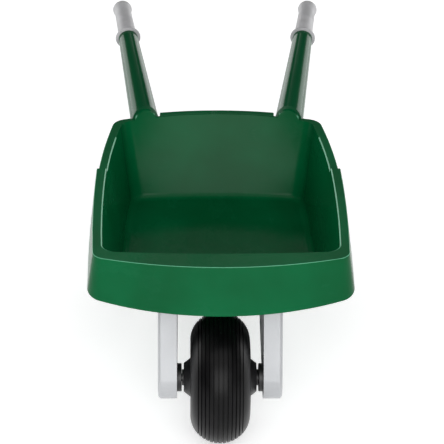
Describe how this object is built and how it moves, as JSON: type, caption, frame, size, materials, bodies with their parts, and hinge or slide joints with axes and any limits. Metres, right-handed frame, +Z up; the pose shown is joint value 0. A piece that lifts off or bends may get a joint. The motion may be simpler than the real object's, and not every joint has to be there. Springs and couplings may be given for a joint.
{
  "type": "child's wheelbarrow",
  "caption": "Child's plastic wheelbarrow: deep green tub with a front apron, tapered handles with grey grips, silver side frames and legs, and a wide black wheel on an axle.",
  "frame": {"origin": "on the floor, under the middle of the whole object", "axes": "+Z up, -Y towards the wheel and apron, +Y towards the handles, +X to the right seen from the wheel end"},
  "size_m": [0.3366, 0.7599, 0.3389],
  "materials": {
    "green_body": "smooth moulded green plastic",
    "green_tube": "glossy green tube",
    "silver_frame": "satin silver-grey moulded plastic",
    "grey_grip": "satin grey, finely ribbed",
    "black_tyre": "black, finely grooved",
    "black_hub": "black moulded plastic",
    "black_cup": "black cup",
    "steel_axle": "drawn steel rod",
    "bush": "pale bearing plastic",
    "zinc_screw": "zinc plated"
  },
  "bodies": {
    "frame": {"tub": "green_body", "rear_brace": "green_body", "right_handle_tube": "green_tube", "left_handle_tube": "green_tube", "right_grip": "grey_grip", "left_grip": "grey_grip", "right_side_frame": "silver_frame", "left_side_frame": "silver_frame", "front_cross_member": "silver_frame", "right_leg": "silver_frame", "left_leg": "silver_frame", "leg_brace": "silver_frame", "right_foot": "black_cup", "left_foot": "black_cup", "axle": "steel_axle", "right_axle_collar": "black_hub", "left_axle_collar": "black_hub", "handle_screws": "zinc_screw", "cross_member_bolts": "zinc_screw", "rear_brace_bolts": "zinc_screw", "tub_screws": "zinc_screw", "leg_bolts": "zinc_screw", "leg_brace_screws": "zinc_screw"},
    "wheel": {"tyre": "black_tyre", "right_rim": "black_hub", "left_rim": "black_hub", "right_wheel_bush": "bush", "left_wheel_bush": "bush", "rim_screws": "zinc_screw"}
  },
  "joints": [
    {"name": "wheel_spin", "type": "hinge", "parent": "frame", "child": "wheel", "pos_m": [0, -0.29536, 0.084], "axis": [1, 0, 0], "continuous": true}
  ]
}
